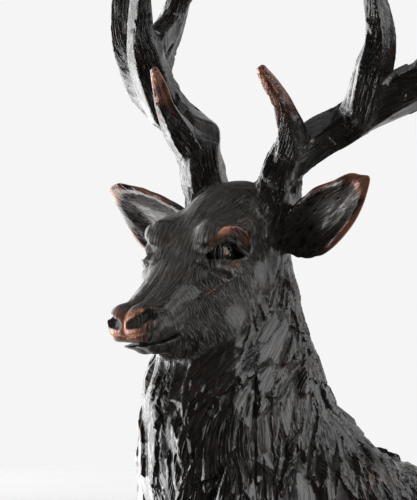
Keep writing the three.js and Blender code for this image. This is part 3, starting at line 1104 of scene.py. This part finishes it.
def floor_disc(studio):
    """A pale plain floor whose rim melts into the backdrop."""
    radius = studio.floor_radius
    turns = [2 * math.pi * k / FLOOR_CORNERS for k in range(FLOOR_CORNERS)]
    points = [(radius * math.cos(turn), radius * math.sin(turn), 0.0) for turn in turns]
    mesh = bpy.data.meshes.new("floor")
    mesh.from_pydata(points, [], [range(FLOOR_CORNERS)])
    floor = new_object("floor", mesh)
    material = bpy.data.materials.new("matt_painted_board")
    add = cleared(material)
    place = add("TexCoord", output="Object")
    away = add("VectorMath", (place,), output="Value", operation="LENGTH")
    fade = add("MapRange", (away, radius * 0.45, radius), interpolation_type="SMOOTHSTEP")
    surface = {
        "Base Color": [*studio.backdrop, 1],
        "Roughness": 0.8,
        "Specular IOR Level": 0.2,
        "Emission Color": [*studio.backdrop, 1],
        "Emission Strength": studio.floor_glow,
    }
    paint = add("BsdfPrincipled", surface)
    both = add("MixShader", (fade, paint, add("BsdfTransparent")))
    add("OutputMaterial", (both,))
    mesh.materials.append(material)
    # The gloss of the casting doesn't mirror the floor, as when black card lies round its foot.
    floor.visible_glossy = False
    return floor


# ---- Settings ----


def colour_setting(name, description, value):
    value = linear(value)[:3]
    return bpy.props.FloatVectorProperty(
        name=name, description=description, default=value, size=3, min=0, max=1, subtype="COLOR"
    )


def number_setting(name, description, value, **more):
    return bpy.props.FloatProperty(name=name, description=description, default=value, **more)


def share_setting(name, description, value):
    return number_setting(name, description, value, min=0, max=1, subtype="FACTOR")


CREASE = math.radians(38)


class StagForm(bpy.types.PropertyGroup):
    """Sizes of the casting."""

    clay_step: number_setting("Clay step", "Grid step of the modelled form", 0.00075, unit="LENGTH")
    carving: number_setting("Carving", "Depth of the carving as a share of the usual depth", 1.0, min=0)
    crease: number_setting("Crease", "Faces at a larger angle keep an edge", CREASE, unit="ROTATION")
    triangles: bpy.props.IntProperty(
        name="Triangles", description="Most triangles in the finished skin", default=194000, min=1000
    )


class StagFinish(bpy.types.PropertyGroup):
    """Colours and wear of the patina."""

    black: colour_setting("Black", "Blackened body of the patina", "#080706")
    brown: colour_setting("Brown", "Thinner brown body of the patina", "#1d1612")
    # The left ear takes more of this dry patina than the right, as painted shade.
    dry_brown: colour_setting("Dry brown", "Matt patina of the nose, brow and ears", "#33271b")
    # Partly painted sheen: the pale crests stand in for glints of light along the fine lines.
    worn_black_and_sheen: colour_setting("Worn black", "Patina along the crests of the tool lines", "#757069")
    copper_light: colour_setting("Light copper", "Metal where it is rubbed most", "#d49a7c")
    copper_dark: colour_setting("Dark copper", "Metal where some patina is left", "#6c3020")
    edge_wear: share_setting("Edge wear", "Share of copper on the sharpest ridges", 0.5)
    gloss_roughness: share_setting("Waxed roughness", "Roughness of the waxed mane and antlers", 0.17)
    face_roughness: share_setting("Face roughness", "Roughness of the less polished face", 0.4)
    # Partly painted sheen: how much the crests stand in for glints of light along the fine lines.
    stroke_wear_and_sheen: share_setting("Stroke wear", "How much paler the tool lines' crests are", 0.75)
    stroke_depth: number_setting(
        "Stroke depth", "Depth of the finest tool strokes", 0.0005, min=0, unit="LENGTH"
    )


class StagStudio(bpy.types.PropertyGroup):
    """Floor, backdrop and lights."""

    backdrop: colour_setting("Backdrop", "Colour of the floor and the backdrop", "#f5f5f5")
    floor_radius: number_setting("Floor radius", "Reach of the floor", 0.65, min=0.2, unit="LENGTH")
    floor_glow: number_setting("Floor glow", "Light that the floor gives of itself", 0.43, min=0)
    front: number_setting("Front light", "Brightness of the room in front of the stag", 0.04, min=0)
    back: number_setting("Back light", "Brightness of the room behind the stag", 0.55, min=0)
    key: number_setting("Key light", "Power of the large softbox on the left", 12.6, unit="POWER")
    fill: number_setting("Fill light", "Power of the softbox in front on the right", 4.1, unit="POWER")
    wing: number_setting("Wing light", "Power of the softbox behind on the left", 7.6, unit="POWER")
    rim: number_setting("Rim light", "Power of the softbox on the right", 1.4, unit="POWER")
    top: number_setting("Top light", "Power of the softbox over the stag", 1.2, unit="POWER")


# ---- Operators ----


class STAG_OT_casting(bpy.types.Operator):
    """Sculpt the stag's bust, carve its coat and give it the waxed patina"""

    bl_idname = "stag.casting"
    bl_label = "Casting"

    def execute(self, context):
        form, finish = context.scene.stag_form, context.scene.stag_finish
        step = form.clay_step / MM * 1
        piece = skin_piece("stag_casting", step, form.carving, form.triangles)
        mark(piece)
        piece.data.materials.append(patinated_iron(finish))
        piece.data.shade_smooth()
        piece.data.set_sharp_from_angle(angle=form.crease)
        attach(piece, "root")
        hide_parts(NODE)
        return {"FINISHED"}


class STAG_OT_studio(bpy.types.Operator):
    """Set the floor, the backdrop, the soft lights and the camera"""

    bl_idname = "stag.studio"
    bl_label = "Studio"

    def execute(self, context):
        studio = context.scene.stag_studio
        context.scene.view_settings.view_transform = "Standard"
        studio_world(studio)
        floor_disc(studio)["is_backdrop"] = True
        for name, box in SOFTBOXES.items():
            softbox(name, *box, getattr(studio, name))
        camera = bpy.data.cameras.new("camera")
        camera.sensor_width = SENSOR
        camera.lens = SENSOR * CAMERA_AWAY / PICTURE_HEIGHT
        camera.clip_end = 100
        context.scene.camera = aimed("camera", camera, AIM + TOWARDS * CAMERA_AWAY, AIM)
        return {"FINISHED"}


class STAG_PT_panel(bpy.types.Panel):
    """The stag's sizes, colours and studio"""

    bl_label = "Stag Bust"
    bl_space_type = "VIEW_3D"
    bl_region_type = "UI"
    bl_category = "Stag"

    def draw(self, context):
        layout = self.layout
        for place, group in GROUPS.items():
            box = layout.box()
            for name in group.__annotations__:
                box.prop(getattr(context.scene, place), name)
        for operator in (STAG_OT_casting, STAG_OT_studio):
            layout.operator(operator.bl_idname)


GROUPS = {"stag_form": StagForm, "stag_finish": StagFinish, "stag_studio": StagStudio}
CLASSES = (*GROUPS.values(), STAG_OT_casting, STAG_OT_studio, STAG_PT_panel)


def register():
    for item in CLASSES:
        bpy.utils.register_class(item)
    for name, group in GROUPS.items():
        setattr(bpy.types.Scene, name, bpy.props.PointerProperty(type=group))


def unregister():
    for name in GROUPS:
        delattr(bpy.types.Scene, name)
    for item in reversed(CLASSES):
        bpy.utils.unregister_class(item)


def main():
    register()
    bpy.ops.stag.studio()
    bpy.ops.stag.casting()


if __name__ == "__main__":
    main()
